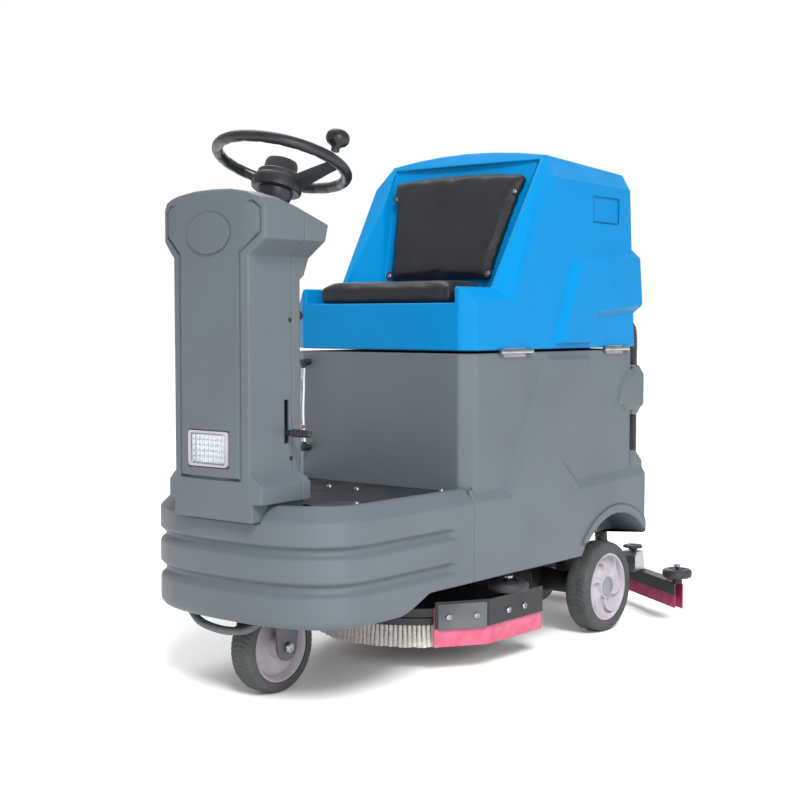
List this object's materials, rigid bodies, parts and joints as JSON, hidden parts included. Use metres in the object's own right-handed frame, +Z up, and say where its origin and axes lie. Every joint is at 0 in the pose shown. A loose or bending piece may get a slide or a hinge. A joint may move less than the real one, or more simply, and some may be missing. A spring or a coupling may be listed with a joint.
{
  "type": "ride-on floor scrubber-dryer",
  "caption": "Ride-on floor scrubber-dryer with steering column, standing deck, seat on a tilting recovery tank, rear drive wheels, disc brush deck and swept squeegee.",
  "frame": {"origin": "on the floor under the middle of the overall length and width", "axes": "+Z up, -Y forwards, +X to the machine's left"},
  "size_m": [0.776, 1.554, 1.2],
  "materials": {
    "grey_shell": "moulded, fine grain",
    "blue_shell": "moulded, fine grain",
    "black_vinyl": "grained vinyl",
    "ribbed_mat": "ribbed",
    "black_plastic": "moulded",
    "grey_tyre": "fine tread",
    "hub_plastic": "moulded",
    "black_steel": "powder coated",
    "zinc_steel": "zinc plated",
    "skirt_rubber": "smooth, mottled",
    "blade_rubber": "smooth",
    "bristle": "nylon tufts",
    "clear_plastic": "clear",
    "orange_plastic": "moulded"
  },
  "bodies": {
    "machine": {"front_deck": "grey_shell", "deck_mat": "ribbed_mat", "solution_tank": "grey_shell", "column_front_cover": "grey_shell", "column_rear_cover": "grey_shell", "badge_plate": "grey_shell", "headlight": "clear_plastic", "dash_panel": "black_plastic", "display": "clear_plastic", "chassis_frame": "black_steel", "transaxle": "black_steel", "drive_motor": "black_steel", "battery_left": "black_plastic", "battery_right": "black_plastic", "sight_tube": "clear_plastic", "brush_lift_actuator": "black_steel", "tank_hinge_front": "zinc_steel", "tank_hinge_rear": "zinc_steel", "wiring_conduit": "black_plastic"},
    "steering_wheel": {"steering_wheel": "black_plastic"},
    "spinner_knob": {"spinner_knob": "black_plastic"},
    "lower_shaft": {"lower_steering_shaft": "zinc_steel"},
    "fork": {"front_fork": "black_steel", "front_axle": "zinc_steel"},
    "front_wheel": {"front_tyre": "grey_tyre", "front_hub": "hub_plastic"},
    "rear_wheel_left": {"rear_tyre_left": "grey_tyre", "rear_hub_left": "hub_plastic"},
    "rear_wheel_right": {"rear_tyre_right": "grey_tyre", "rear_hub_right": "hub_plastic"},
    "key": {"key_switch": "zinc_steel"},
    "horn": {"horn_button": "orange_plastic"},
    "direction": {"direction_switch": "black_plastic"},
    "pedal": {"accelerator_pedal": "black_plastic"},
    "lever": {"lift_lever": "black_plastic"},
    "brush_deck": {"brush_deck_cover": "black_steel", "brush_motor": "black_steel", "skirt_plate_left": "black_steel", "skirt_rubber_left": "skirt_rubber", "skirt_plate_right": "black_steel", "skirt_rubber_right": "skirt_rubber"},
    "brush": {"scrub_brush": "bristle"},
    "roller_left": {"guide_roller_left": "black_plastic"},
    "roller_right": {"guide_roller_right": "black_plastic"},
    "upper_tank": {"recovery_tank": "blue_shell", "seat_cushion": "black_vinyl", "backrest_pad": "black_vinyl", "vacuum_motor": "black_plastic", "suction_hose": "black_plastic", "drain_hose": "black_plastic"},
    "lid": {"tank_lid": "blue_shell"},
    "squeegee_arm": {"squeegee_arm": "zinc_steel"},
    "squeegee": {"squeegee_carrier": "zinc_steel", "squeegee_beam": "black_steel", "front_blade": "blade_rubber", "rear_blade": "blade_rubber"},
    "tip_wheel_left": {"squeegee_wheel_left": "black_plastic"},
    "tip_wheel_right": {"squeegee_wheel_right": "black_plastic"},
    "knob_left": {"squeegee_knob_left": "black_plastic"},
    "knob_right": {"squeegee_knob_right": "black_plastic"}
  },
  "joints": [
    {"name": "steering", "type": "hinge", "parent": "machine", "child": "steering_wheel", "pos_m": [0, -0.556, 1.121], "axis": [0, 0.309, 0.9511], "range_deg": [-180, 180]},
    {"name": "spinner_knob_spin", "type": "hinge", "parent": "steering_wheel", "child": "spinner_knob", "pos_m": [0.13883, -0.54012, 1.14738], "axis": [0, 0.309, 0.9511], "continuous": true},
    {"name": "lower_shaft_turn", "type": "hinge", "parent": "machine", "child": "lower_shaft", "pos_m": [0, -0.693, 0.4], "axis": [0, 0, 1], "range_deg": [-180, 180]},
    {"name": "fork_steer", "type": "hinge", "parent": "machine", "child": "fork", "pos_m": [0, -0.593, 0.21], "axis": [0, 0, 1], "range_deg": [-62.1, 62.1]},
    {"name": "front_wheel_spin", "type": "hinge", "parent": "fork", "child": "front_wheel", "pos_m": [0, -0.593, 0.1], "axis": [1, 0, 0], "continuous": true},
    {"name": "rear_wheel_left_spin", "type": "hinge", "parent": "machine", "child": "rear_wheel_left", "pos_m": [0.2265, 0.3617, 0.1135], "axis": [1, 0, 0], "continuous": true},
    {"name": "rear_wheel_right_spin", "type": "hinge", "parent": "machine", "child": "rear_wheel_right", "pos_m": [-0.2265, 0.3617, 0.1135], "axis": [1, 0, 0], "continuous": true},
    {"name": "key_turn", "type": "hinge", "parent": "machine", "child": "key", "pos_m": [-0.092, -0.64152, 1.01798], "axis": [0, 0.309, 0.9511], "range_deg": [0, 60]},
    {"name": "horn_press", "type": "slide", "parent": "machine", "child": "horn", "axis": [0, -0.309, -0.9511], "range_m": [0, 0.003], "stiffness_N_per_m": 600},
    {"name": "direction_rock", "type": "hinge", "parent": "machine", "child": "direction", "pos_m": [0.092, -0.64322, 1.01275], "axis": [1, 0, 0], "range_deg": [-6, 6]},
    {"name": "pedal_press", "type": "hinge", "parent": "machine", "child": "pedal", "pos_m": [-0.176, -0.433, 0.414], "axis": [1, 0, 0], "range_deg": [0, 12], "stiffness_Nm_per_rad": 8, "springref_deg": -2.86},
    {"name": "squeegee_lift", "type": "hinge", "parent": "machine", "child": "squeegee_arm", "pos_m": [0, 0.453, 0.178], "axis": [1, 0, 0], "range_deg": [-15.5, 0]},
    {"name": "lever_travel", "type": "slide", "parent": "machine", "child": "lever", "axis": [0, 0, 1], "range_m": [0, 0.0551]},
    {"name": "squeegee_level", "type": "hinge", "parent": "squeegee_arm", "child": "squeegee", "pos_m": [0, 0.597, 0.128], "axis": [1, 0, 0], "range_deg": [0, 15.5]},
    {"name": "brush_deck_lift", "type": "slide", "parent": "machine", "child": "brush_deck", "axis": [0, 0, 1], "range_m": [-0.055, 0]},
    {"name": "brush_spin", "type": "hinge", "parent": "brush_deck", "child": "brush", "pos_m": [0, -0.109, 0.1], "axis": [0, 0, 1], "continuous": true},
    {"name": "roller_left_spin", "type": "hinge", "parent": "brush_deck", "child": "roller_left", "pos_m": [0.25, -0.073, 0.178], "axis": [0, 0, 1], "continuous": true},
    {"name": "roller_right_spin", "type": "hinge", "parent": "brush_deck", "child": "roller_right", "pos_m": [-0.25, -0.073, 0.178], "axis": [0, 0, 1], "continuous": true},
    {"name": "tank_tilt", "type": "hinge", "parent": "machine", "child": "upper_tank", "pos_m": [0.2735, 0.107, 0.7185], "axis": [0, 1, 0], "range_deg": [0, 70]},
    {"name": "lid_open", "type": "hinge", "parent": "upper_tank", "child": "lid", "pos_m": [0, 0.3891, 1.17995], "axis": [-1, 0, 0], "range_deg": [0, 95]},
    {"name": "tip_wheel_left_spin", "type": "hinge", "parent": "squeegee", "child": "tip_wheel_left", "pos_m": [0.35, 0.549, 0.132], "axis": [0, 0, 1], "continuous": true},
    {"name": "tip_wheel_right_spin", "type": "hinge", "parent": "squeegee", "child": "tip_wheel_right", "pos_m": [-0.35, 0.549, 0.132], "axis": [0, 0, 1], "continuous": true},
    {"name": "knob_left_turn", "type": "hinge", "parent": "squeegee", "child": "knob_left", "pos_m": [0.168, 0.639, 0.17], "axis": [0, 0, 1], "continuous": true},
    {"name": "knob_right_turn", "type": "hinge", "parent": "squeegee", "child": "knob_right", "pos_m": [-0.168, 0.639, 0.17], "axis": [0, 0, 1], "continuous": true}
  ],
  "couplings": [
    {"joint": "lower_shaft_turn", "follows": "steering", "ratio": 1},
    {"joint": "fork_steer", "follows": "steering", "ratio": 0.34483},
    {"joint": "lever_travel", "follows": "squeegee_lift", "m_per_rad": -0.20331},
    {"joint": "squeegee_level", "follows": "squeegee_lift", "ratio": -1}
  ]
}
